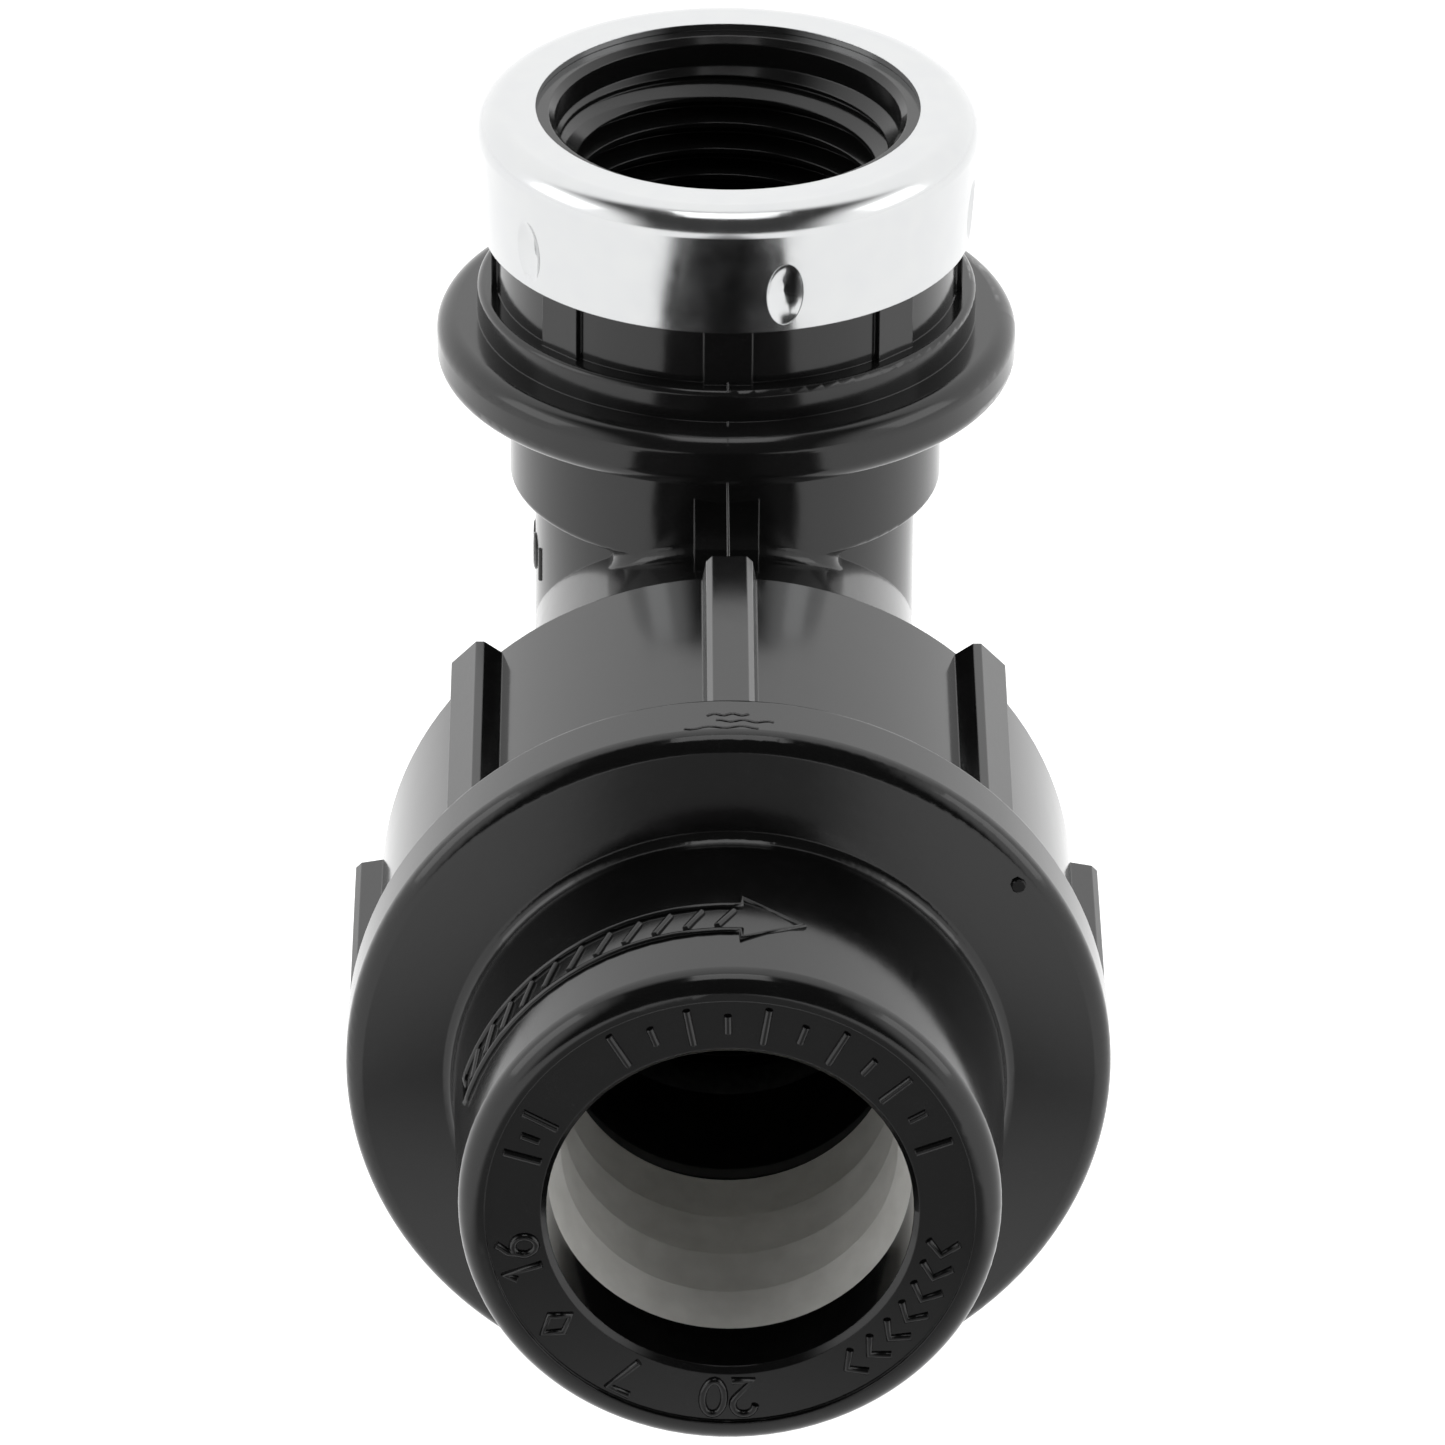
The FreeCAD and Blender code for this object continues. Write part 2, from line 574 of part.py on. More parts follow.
def make_grip(doc):
    """The split ring: a cone outside, saw teeth inside, slotted along its top."""
    piece = Piece(doc, "grip_ring")
    outline = [
        (f"{size('cone_rear_radius')} - {size('grip_gap')}", size("grip_rear")),
        (f"{size('cone_front_radius')} - {size('grip_gap')}", size("grip_front")),
        (size("grip_mouth_radius"), size("grip_front")),
    ]
    for tooth in range(TEETH):
        place_of_tip = f"({size('grip_front')} - {size('first_tip')} - {tooth} * {size('tooth_pitch')})"
        outline.append((size("tooth_tip_radius"), place_of_tip))
        outline.append((size("tooth_root_radius"), f"{place_of_tip} - {size('tooth_back')}"))
    outline.append((size("tooth_root_radius"), size("grip_rear")))
    piece.turn("grip", "XZ_Plane", outline)
    half = f"{size('split_width')} / 2"
    far = size("cone_rear_radius")
    slot = piece.sketch("split_outline", "XY_Plane", [
        (f"-{half}", "0"),
        (half, "0"),
        (half, far),
        (f"-{half}", far),
    ])
    before = piece.body.Shape.Volume
    cut = piece.feature("Pocket", "split", Profile=slot, Type="ThroughAll", Midplane=True)
    piece.check_volume(cut, before, True)
    return piece.body


def make_nut(doc):
    """The nut: ribbed skirt with the inside thread, flange, and neck with the closing cone."""
    piece = Piece(doc, "compression_nut")
    rim_front = f"({size('rim_rear')} + {size('rim_thickness')})"
    sunk_face = f"({size('nut_front')} - {size('face_sink')})"
    rear_bevel = f"({size('cavity_radius')} - {size('nut_crest_radius')})"
    cavity_start = f"({size('cavity_end')} - {size('tighten_travel')} - {size('bush_flange')}"
    cavity_start += f" - {size('cavity_room')})"
    piece.turn("nut_outside", "XZ_Plane", [
        (size("cavity_radius"), size("nut_start")),
        (size("skirt_radius"), size("nut_start")),
        (size("skirt_radius"), size("rim_rear")),
        (size("rim_radius"), size("rim_rear")),
        (size("rim_radius"), rim_front),
        (size("neck_base_radius"), f"{size('rim_rear')} + {size('neck_base')}"),
        (size("neck_radius"), size("nut_front")),
        (size("face_radius"), size("nut_front")),
        (size("face_radius"), sunk_face),
        (f"{size('nut_bore_radius')} + {size('nut_bore_edge')}", sunk_face),
        (size("nut_bore_radius"), f"{sunk_face} - {size('nut_bore_edge')}"),
        (size("nut_bore_radius"), size("land_rear")),
        (size("cone_front_radius"), size("land_rear")),
        (size("cone_rear_radius"), size("cavity_end")),
        (size("cavity_radius"), size("cavity_end")),
        (size("cavity_radius"), cavity_start),
        (size("nut_crest_radius"), cavity_start),
        (size("nut_crest_radius"), f"{size('nut_start')} + {rear_bevel}"),
    ])
    piece.soften("rim_rear_edge", OUT, [(size("rim_radius"), size("rim_rear"))], size("rim_rear_round"))
    piece.soften("rim_front_edge", OUT, [(size("rim_radius"), rim_front)], size("rim_front_round"))
    piece.soften("neck_edge", OUT, [(size("neck_radius"), size("nut_front"))], size("neck_round"))
    piece.soften("neck_root", OUT, [
        (size("neck_base_radius"), f"{size('rim_rear')} + {size('neck_base')}"),
    ], size("neck_root_round"))
    add_nut_ribs(piece)
    cut_nut_thread(piece, cavity_start)
    return piece.body


def add_nut_ribs(piece):
    """The grip ribs along the skirt, tapered and with bevelled edges, the first of them on top."""
    root = size("nut_root_radius")
    rear = f"{size('nut_start')} + {size('rib_setback')}"
    front = f"{size('rim_rear')} + {size('rim_rear_round')}"
    top = f"({size('rib_width')} / 2)"
    foot = f"({top} + ({size('rib_radius')} - {root}) * tan({size('rib_draft')}))"
    shoulder = f"{size('rib_radius')} - {size('rib_bevel')}"
    flat = f"({top} - {size('rib_bevel')})"
    section = piece.sketch("rib_outline", "XY_Plane", [
        (f"-{foot}", root),
        (foot, root),
        (top, shoulder),
        (flat, size("rib_radius")),
        (f"-{flat}", size("rib_radius")),
        (f"-{top}", shoulder),
    ])
    section.setExpression("AttachmentOffset.Base.z", rear)
    rib = piece.feature("Pad", "rib", Profile=section, Length=f"{front} - ({rear})")
    piece.around("ribs", rib, "Z_Axis", NUT_RIBS, 360)


def cut_nut_thread(piece, cavity_start):
    """The inside thread: a groove that the barrel's ridge runs in, with the threads' gap all round."""
    gap = size("nut_thread_gap")
    inner = f"({size('nut_crest_radius')} - {size('relief_step')})"
    at_root = f"({ridge_half_width(size('nut_root_radius'))} + {gap})"
    at_crest = f"({ridge_half_width(inner)} + {gap})"
    middle = f"({first_groove()} - {size('nut_lead')} / 2)"
    length = f"{cavity_start} + {size('nut_lead')} / 2 - {middle}"
    piece.thread_groove("nut_thread", "XZ_Plane", [
        (inner, f"{middle} - {at_crest}"),
        (size("nut_root_radius"), f"{middle} - {at_root}"),
        (size("nut_root_radius"), f"{middle} + {at_root}"),
        (inner, f"{middle} + {at_crest}"),
    ], size("nut_lead"), length)


def check_document(doc):
    """Stop if any object of the document failed."""
    for thing in doc.Objects:
        if "Invalid" in thing.State or "Error" in thing.State:
            raise RuntimeError(f"{thing.Label} failed: {thing.State}")


def write_pieces(pieces):
    """Check each sub-part's shape and write it under its own name."""
    for piece in pieces:
        if piece.Shape.isNull() or not piece.Shape.isValid():
            raise RuntimeError(f"{piece.Label} has no valid shape")
    os.makedirs(PARTS_FOLDER, exist_ok=True)
    for piece in pieces:
        piece.Shape.exportStep(os.path.join(PARTS_FOLDER, piece.Label + ".step"))
        solids = len(piece.Shape.Solids)
        print(f"{piece.Label}: {solids} solid, {piece.Shape.Volume:.0f} mm3")


def main():
    """Build the document and write the sub-parts."""
    doc = FreeCAD.newDocument("compression_fitting")
    make_sheet(doc)
    makers = [make_body, make_cap, make_seal, make_bush, make_grip, make_nut]
    pieces = [make(doc) for make in makers]
    doc.recompute()
    check_document(doc)
    write_pieces(pieces)


main()
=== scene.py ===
"""Looks of a plastic pipe compression elbow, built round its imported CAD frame.

Every length is in metres in the row's frame: +Z out of the threaded port, -Y out of the pipe end.
Angles round the nut are degrees clockwise from the top, seen from the pipe end.
"""

import json
import logging
import math
from dataclasses import dataclass
from enum import Enum
from typing import Any, Iterable, Sequence

import bpy
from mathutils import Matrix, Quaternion, Vector
from mathutils.bvhtree import BVHTree


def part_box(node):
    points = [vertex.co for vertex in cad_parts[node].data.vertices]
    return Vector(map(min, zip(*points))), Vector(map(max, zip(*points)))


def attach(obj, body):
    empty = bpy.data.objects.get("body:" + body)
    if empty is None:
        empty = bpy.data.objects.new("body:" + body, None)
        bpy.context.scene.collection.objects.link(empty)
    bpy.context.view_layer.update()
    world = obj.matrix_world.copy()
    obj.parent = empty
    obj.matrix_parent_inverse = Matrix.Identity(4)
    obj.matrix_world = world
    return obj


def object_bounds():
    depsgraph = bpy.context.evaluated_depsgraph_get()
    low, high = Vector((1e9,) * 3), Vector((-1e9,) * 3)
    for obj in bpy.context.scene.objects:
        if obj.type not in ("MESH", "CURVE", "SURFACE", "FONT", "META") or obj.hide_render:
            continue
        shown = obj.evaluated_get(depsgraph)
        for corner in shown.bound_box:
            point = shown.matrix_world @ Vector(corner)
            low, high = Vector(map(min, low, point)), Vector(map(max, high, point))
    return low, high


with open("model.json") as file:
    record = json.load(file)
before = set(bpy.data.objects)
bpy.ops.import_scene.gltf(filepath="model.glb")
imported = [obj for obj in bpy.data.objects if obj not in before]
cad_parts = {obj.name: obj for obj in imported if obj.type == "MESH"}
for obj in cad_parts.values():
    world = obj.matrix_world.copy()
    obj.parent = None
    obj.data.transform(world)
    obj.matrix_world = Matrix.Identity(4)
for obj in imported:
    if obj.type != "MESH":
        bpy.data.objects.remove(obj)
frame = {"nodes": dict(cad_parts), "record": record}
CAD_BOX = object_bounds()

MM = 0.001
LOG = logging.getLogger("compression_elbow")
# The middle of a noise texture's values, where most of them lie.
NOISE_MIDDLE = {"From Min": 0.3, "From Max": 0.7}
Outline = list[tuple[float, float]]


def linear(colour: str) -> tuple[float, float, float, float]:
    """Turn an sRGB hex value into the linear colour that shaders take.

    Args:
        colour: six hex digits after a hash sign.

    Returns:
        Red, green, blue and alpha.
    """
    parts = [int(colour[i : i + 2], 16) / 255 for i in (1, 3, 5)]
    scaled = [c / 12.92 if c <= 0.04045 else ((c + 0.055) / 1.055) ** 2.4 for c in parts]
    return (scaled[0], scaled[1], scaled[2], 1.0)


def add_node(
    tree: bpy.types.NodeTree,
    kind: str,
    settings: dict[str | int, Any] | None = None,
    links: dict[str | int, bpy.types.NodeSocket] | None = None,
) -> bpy.types.Node:
    """Add a node, set it up and link it.

    Args:
        tree: the material's or world's node tree.
        kind: Blender's class name of the node.
        settings: values by property name, or by the name or number of an input.
        links: the output that feeds each named or numbered input.

    Returns:
        The new node.
    """
    node = tree.nodes.new(kind)
    for key, value in (settings or {}).items():
        if isinstance(key, str) and hasattr(node, key):
            setattr(node, key, value)
        else:
            node.inputs[key].default_value = value
    for key, source in (links or {}).items():
        tree.links.new(source, node.inputs[key])
    return node


@dataclass(frozen=True)
class Finish:
    """What every finish has: a name, a colour and how its surface scatters light."""

    name: str
    colour: str
    roughness: float
    edge: float
    gloss_spread: tuple[float, float] = (1.0, 1.0)

    def start(self) -> tuple[bpy.types.Material, bpy.types.NodeTree, bpy.types.NodeSocket]:
        """Make the empty material.

        Returns:
            The material, its tree and the object's own coordinates.
        """
        material = bpy.data.materials.new(self.name)
        material.use_nodes = True
        tree = material.node_tree
        tree.nodes.clear()
        place = add_node(tree, "ShaderNodeTexCoord").outputs["Object"]
        return material, tree, place

    def surface(
        self, tree: bpy.types.NodeTree, patterns: Iterable[tuple[bpy.types.Node, float]]
    ) -> bpy.types.NodeSocket:
        """Soften every sharp edge, and raise the surface by each pattern in turn.

        Args:
            tree: the material's tree.
            patterns: noise textures, each with how far its full value stands up.

        Returns:
            The normal.
        """
        normal = add_node(tree, "ShaderNodeBevel", {"samples": 6, "Radius": self.edge}).outputs["Normal"]
        for pattern, depth in patterns:
            raised = add_node(
                tree, "ShaderNodeBump", {"Strength": 1.0, "Distance": depth},
                {"Height": pattern.outputs["Fac"], "Normal": normal},
            )
            normal = raised.outputs["Normal"]
        return normal

    def varied(
        self, tree: bpy.types.NodeTree, share: bpy.types.NodeSocket, other: str, cloud: bpy.types.Node
    ) -> dict[str | int, bpy.types.NodeSocket]:
        """Colour that drifts to another, and gloss that drifts with a texture.

        Args:
            tree: the material's tree.
            share: how much of the other colour shows, from 0 to 1.
            other: the other colour, as an sRGB hex value.
            cloud: the noise texture that the gloss follows.

        Returns:
            The shader's colour and roughness.
        """
        colour = add_node(
            tree, "ShaderNodeMix", {"data_type": "RGBA", 6: linear(self.colour), 7: linear(other)},
            {0: share},
        )
        low, high = (self.roughness * part for part in self.gloss_spread)
        gloss = add_node(
            tree, "ShaderNodeMapRange", {**NOISE_MIDDLE, "To Min": low, "To Max": high},
            {"Value": cloud.outputs["Fac"]},
        )
        return {"Base Color": colour.outputs[2], "Roughness": gloss.outputs["Result"]}


@dataclass(frozen=True)
class MouldedPolypropylene(Finish):
    """Black injection-moulded polypropylene: glossy, faintly rippled, with fine scuffs and dust."""

    grain: float = 0.35 * MM
    grain_depth: float = 0.0004 * MM
    ripple: float = 5.0 * MM
    ripple_depth: float = 0.006 * MM
    drag: float = 0.7 * MM
    drag_depth: float = 0.0012 * MM
    drag_stretch: tuple[float, float, float] = (1.0, 9.0, 1.0)
    scuff: float = 2.5 * MM
    scuff_roughness: float = 0.7
    scuff_limits: tuple[float, float] = (0.5, 0.62)
    scratch: float = 0.12 * MM
    scratch_turn: tuple[float, float, float] = (0.6, 0.9, 0.3)
    scratch_stretch: tuple[float, float, float] = (0.06, 1.0, 1.0)
    scratch_limits: tuple[float, float] = (0.72, 0.76)
    scratch_colour: str = "#2b2b2c"
    gloss_spread: tuple[float, float] = (0.85, 1.2)
    ior: float = 1.47

    def build(self) -> bpy.types.Material:
        """Make the material: ripple, drag streaks and fine grain, cloudy gloss, pale scuffs.

        Returns:
            The material.
        """
        material, tree, place = self.start()
        pulled = add_node(
            tree, "ShaderNodeMapping", {"vector_type": "TEXTURE", "Scale": self.drag_stretch},
            {"Vector": place},
        )
        drawn_out = add_node(
            tree, "ShaderNodeMapping",
            {"vector_type": "TEXTURE", "Rotation": self.scratch_turn, "Scale": self.scratch_stretch},
            {"Vector": place},
        )
        grain = add_node(
            tree, "ShaderNodeTexNoise", {"Scale": 1 / self.grain, "Detail": 3.0}, {"Vector": place}
        )
        ripple = add_node(
            tree, "ShaderNodeTexNoise", {"Scale": 1 / self.ripple, "Detail": 1.0}, {"Vector": place}
        )
        drag = add_node(
            tree, "ShaderNodeTexNoise", {"Scale": 1 / self.drag, "Detail": 2.0},
            {"Vector": pulled.outputs["Vector"]},
        )
        cloud = add_node(
            tree, "ShaderNodeTexNoise",
            {"Scale": 1 / self.scuff, "Detail": 6.0, "Roughness": self.scuff_roughness},
            {"Vector": place},
        )
        lines = add_node(
            tree, "ShaderNodeTexNoise", {"Scale": 1 / self.scratch, "Detail": 0.0},
            {"Vector": drawn_out.outputs["Vector"]},
        )
        parts = []
        for pattern, (low, high) in ((lines, self.scratch_limits), (cloud, self.scuff_limits)):
            part = add_node(
                tree, "ShaderNodeMapRange", {"From Min": low, "From Max": high},
                {"Value": pattern.outputs["Fac"]},
            )
            parts.append(part.outputs["Result"])
        scuffs = add_node(tree, "ShaderNodeMath", {"operation": "MULTIPLY"}, dict(enumerate(parts)))
        links = self.varied(tree, scuffs.outputs["Value"], self.scratch_colour, cloud)
        links["Normal"] = self.surface(
            tree, [(ripple, self.ripple_depth), (drag, self.drag_depth), (grain, self.grain_depth)]
        )
        shader = add_node(tree, "ShaderNodeBsdfPrincipled", {"IOR": self.ior}, links)
        add_node(tree, "ShaderNodeOutputMaterial", {}, {"Surface": shader.outputs["BSDF"]})
        return material


@dataclass(frozen=True)
class PressedStainless(Finish):
    """Thin stainless strip pressed to a cap: bright, softly brushed round, with shallow dents."""

    # Real brush lines are about 0.02 mm apart. These are as coarse as they need to be to show.
    brush: float = 0.09 * MM
    brush_depth: float = 0.0004 * MM
    brush_stretch: tuple[float, float, float] = (1.0, 1.0, 14.0)
    dent: float = 3.2 * MM
    dent_depth: float = 0.004 * MM
    cloud_in_dents: float = 0.6
    cloud_most: float = 0.5
    cloud_colour: str = "#c2c3c5"
    gloss_spread: tuple[float, float] = (0.8, 1.3)

    def build(self) -> bpy.types.Material:
        """Make the material: drawn lines, shallow dents and cloudy gloss on bare metal.

        Returns:
            The material.
        """
        material, tree, place = self.start()
        along = add_node(
            tree, "ShaderNodeMapping", {"vector_type": "TEXTURE", "Scale": self.brush_stretch},
            {"Vector": place},
        )
        brush = add_node(
            tree, "ShaderNodeTexNoise", {"Scale": 1 / self.brush, "Detail": 2.0},
            {"Vector": along.outputs["Vector"]},
        )
        dents = add_node(
            tree, "ShaderNodeTexNoise", {"Scale": 1 / self.dent, "Detail": 2.0}, {"Vector": place}
        )
        cloud = add_node(
            tree, "ShaderNodeTexNoise",
            {"Scale": 1 / (self.dent * self.cloud_in_dents), "Detail": 5.0}, {"Vector": place},
        )
        share = add_node(
            tree, "ShaderNodeMapRange", {**NOISE_MIDDLE, "To Min": 0.0, "To Max": self.cloud_most},
            {"Value": cloud.outputs["Fac"]},
        )
        links = self.varied(tree, share.outputs["Result"], self.cloud_colour, cloud)
        links["Normal"] = self.surface(tree, [(dents, self.dent_depth), (brush, self.brush_depth)])
        shader = add_node(tree, "ShaderNodeBsdfPrincipled", {"Metallic": 1.0}, links)
        add_node(tree, "ShaderNodeOutputMaterial", {}, {"Surface": shader.outputs["BSDF"]})
        return material


@dataclass(frozen=True)
class MouldedAcetal(Finish):
    """White injection-moulded acetal: waxy and slightly see-through, with faint flow marks."""

    flow: float = 2.0 * MM
    flow_depth: float = 0.01 * MM
    flow_most: float = 0.6
    flow_colour: str = "#d8d7d2"
    gloss_spread: tuple[float, float] = (0.9, 1.15)
    glow: float = 0.12
    glow_reach: float = 0.5 * MM
    glow_tint: tuple[float, float, float] = (1.0, 0.98, 0.92)
    ior: float = 1.48

    def build(self) -> bpy.types.Material:
        """Make the material: light scattered below the surface, and faint flow marks.

        Returns:
            The material.
        """
        material, tree, place = self.start()
        flow = add_node(
            tree, "ShaderNodeTexNoise", {"Scale": 1 / self.flow, "Detail": 4.0}, {"Vector": place}
        )
        share = add_node(
            tree, "ShaderNodeMapRange", {**NOISE_MIDDLE, "To Min": 0.0, "To Max": self.flow_most},
            {"Value": flow.outputs["Fac"]},
        )
        links = self.varied(tree, share.outputs["Result"], self.flow_colour, flow)
        links["Normal"] = self.surface(tree, [(flow, self.flow_depth)])
        shader = add_node(
            tree, "ShaderNodeBsdfPrincipled",
            {
                "IOR": self.ior,
                "Subsurface Weight": self.glow,
                "Subsurface Radius": self.glow_tint,
                "Subsurface Scale": self.glow_reach,
            },
            links,
        )
        add_node(tree, "ShaderNodeOutputMaterial", {}, {"Surface": shader.outputs["BSDF"]})
        return material


@dataclass(frozen=True)
class NitrileRubber(Finish):
    """Black moulded nitrile rubber: dull, with a fine dusty bloom."""

    bloom: float = 0.5 * MM
    bloom_depth: float = 0.004 * MM
    bloom_most: float = 0.7
    bloom_colour: str = "#343434"
    ior: float = 1.52

    def build(self) -> bpy.types.Material:
        """Make the material: a grey bloom over dull black.

        Returns:
            The material.
        """
        material, tree, place = self.start()
        bloom = add_node(
            tree, "ShaderNodeTexNoise", {"Scale": 1 / self.bloom, "Detail": 5.0}, {"Vector": place}
        )
        share = add_node(
            tree, "ShaderNodeMapRange", {**NOISE_MIDDLE, "To Min": 0.0, "To Max": self.bloom_most},
            {"Value": bloom.outputs["Fac"]},
        )
        tint = add_node(
            tree, "ShaderNodeMix",
            {"data_type": "RGBA", 6: linear(self.colour), 7: linear(self.bloom_colour)},
            {0: share.outputs["Result"]},
        )
        normal = self.surface(tree, [(bloom, self.bloom_depth)])
        shader = add_node(
            tree, "ShaderNodeBsdfPrincipled", {"Roughness": self.roughness, "IOR": self.ior},
            {"Base Color": tint.outputs[2], "Normal": normal},
        )
        add_node(tree, "ShaderNodeOutputMaterial", {}, {"Surface": shader.outputs["BSDF"]})
        return material


class Skin:
    """The outside of a CAD node, found by rays."""

    def __init__(self, node: str) -> None:
        """Read the node's mesh once."""
        mesh = frame["nodes"][node].data
        points = [v.co.copy() for v in mesh.vertices]
        self.tree = BVHTree.FromPolygons(points, [tuple(p.vertices) for p in mesh.polygons])

    def at(self, start: Vector, towards: Vector, lift: float = 0.0) -> Vector:
        """The first point that a ray meets.

        Args:
            start: where the ray begins, outside the node.
            towards: its direction.
            lift: how far back along the ray the point is moved.

        Returns:
            The point, lifted off the surface.
        """
        hit, _, _, _ = self.tree.ray_cast(start, towards)
        if hit is None:
            raise RuntimeError(f"no surface from {start} towards {towards}")
        return hit - towards.normalized() * lift


def dress(piece: bpy.types.Object, material: bpy.types.Material) -> None:
    """Give a piece or a CAD node one material."""
    piece.data.materials.clear()
    piece.data.materials.append(material)


def add_piece(
    name: str, mesh: bpy.types.Mesh, body: str, material: bpy.types.Material
) -> bpy.types.Object:
    """Put a mesh in the scene as a piece that rides on a body.

    Args:
        name: the piece's name.
        mesh: its mesh, in the row's frame.
        body: the CAD body that it rides on.
        material: its finish.

    Returns:
        The new object.
    """
    piece = bpy.data.objects.new(name, mesh)
    bpy.context.scene.collection.objects.link(piece)
    dress(piece, material)
    for face in mesh.polygons:
        face.use_smooth = True
    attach(piece, body)
    LOG.info("%s rides on %s with %d faces", name, body, len(mesh.polygons))
    return piece


def bead_mesh(name: str, lines: Iterable[Sequence[Vector]], radius: float) -> bpy.types.Mesh:
    """A round bead along each line, as one mesh.

    Args:
        name: the mesh's name.
        lines: the points of each bead's middle line.
        radius: the bead's radius.

    Returns:
        The mesh.
    """
    curve = bpy.data.curves.new(name, "CURVE")
    curve.dimensions = "3D"
    curve.bevel_depth = radius
    curve.bevel_resolution = 2
    curve.use_fill_caps = True
    for line in lines:
        closed = (line[0] - line[-1]).length < radius / 10
        points = line[:-1] if closed else line
        spline = curve.splines.new("POLY")
        spline.points.add(len(points) - 1)
        for slot, point in zip(spline.points, points):
            slot.co = (*point, 1.0)
        spline.use_cyclic_u = closed
    holder = bpy.data.objects.new(name + "_curve", curve)
    mesh = bpy.data.meshes.new_from_object(holder)
    mesh.name = name
    bpy.data.objects.remove(holder)
    bpy.data.curves.remove(curve)
    return mesh


def arc(
    x: float, y: float, wide: float, high: float, start: float, end: float, count: int = 10
) -> Outline:
    """Points along part of an ellipse.

    Args:
        x: middle, across.
        y: middle, up.
        wide: half of its width.
        high: half of its height.
        start: first angle in degrees, anticlockwise from the right.
        end: last angle in degrees.
        count: number of steps.

    Returns:
        The points.
    """
    angles = [math.radians(start + (end - start) * i / count) for i in range(count + 1)]
    return [(x + wide * math.cos(a), y + high * math.sin(a)) for a in angles]


class Mark(Enum):
    """Generic moulded marks, each as strokes in a cell one high and about 0.6 wide."""

    TALL = "tall"
    SHORT = "short"
    CHEVRON = "chevron"
    DIAMOND = "diamond"
    ZERO = "0"
    ONE = "1"
    TWO = "2"
    SIX = "6"
    SEVEN = "7"

    def strokes(self) -> list[Outline]:
        """Draw the mark.

        Returns:
            Its strokes, across and up from the middle of its foot.
        """
        shapes: dict[Mark, list[Outline]] = {
            Mark.TALL: [[(0.0, 0.0), (0.0, 1.0)]],
            Mark.SHORT: [[(0.0, 0.25), (0.0, 0.75)]],
            Mark.CHEVRON: [[(-0.2, 0.9), (0.2, 0.5), (-0.2, 0.1)]],
            Mark.DIAMOND: [[(-0.3, 0.5), (0.0, 0.95), (0.3, 0.5), (0.0, 0.05), (-0.3, 0.5)]],
            Mark.ZERO: [arc(0.0, 0.5, 0.28, 0.5, 0, 360, 20)],
            Mark.ONE: [[(-0.18, 0.75), (0.05, 1.0), (0.05, 0.0)]],
            Mark.TWO: [arc(0.0, 0.7, 0.28, 0.3, 170, -40) + [(-0.28, 0.0), (0.3, 0.0)]],
            Mark.SIX: [arc(0.02, 0.3, 0.27, 0.3, 0, 360, 18), [(-0.24, 0.35), (-0.1, 0.75), (0.16, 1.0)]],
            Mark.SEVEN: [[(-0.28, 1.0), (0.28, 1.0), (-0.08, 0.0)]],
        }
        return shapes[self]


# Marks round the nut's face: angle of a row's first mark, angle to the next, and the marks in order.
FACE_ROWS: tuple[tuple[float, float, tuple[Mark, ...]], ...] = (
    (-31, 10, (Mark.TALL, Mark.SHORT) * 5 + (Mark.TALL,)),
    (101, 7.3, (Mark.CHEVRON,) * 7),
    (176, 8, (Mark.TWO, Mark.ZERO)),
    (208, 0, (Mark.SEVEN,)),
    (233, 0, (Mark.DIAMOND,)),
    (251.5, 7.5, (Mark.ONE, Mark.SIX)),
    (287, 6, (Mark.TALL, Mark.SHORT, Mark.TALL)),
)


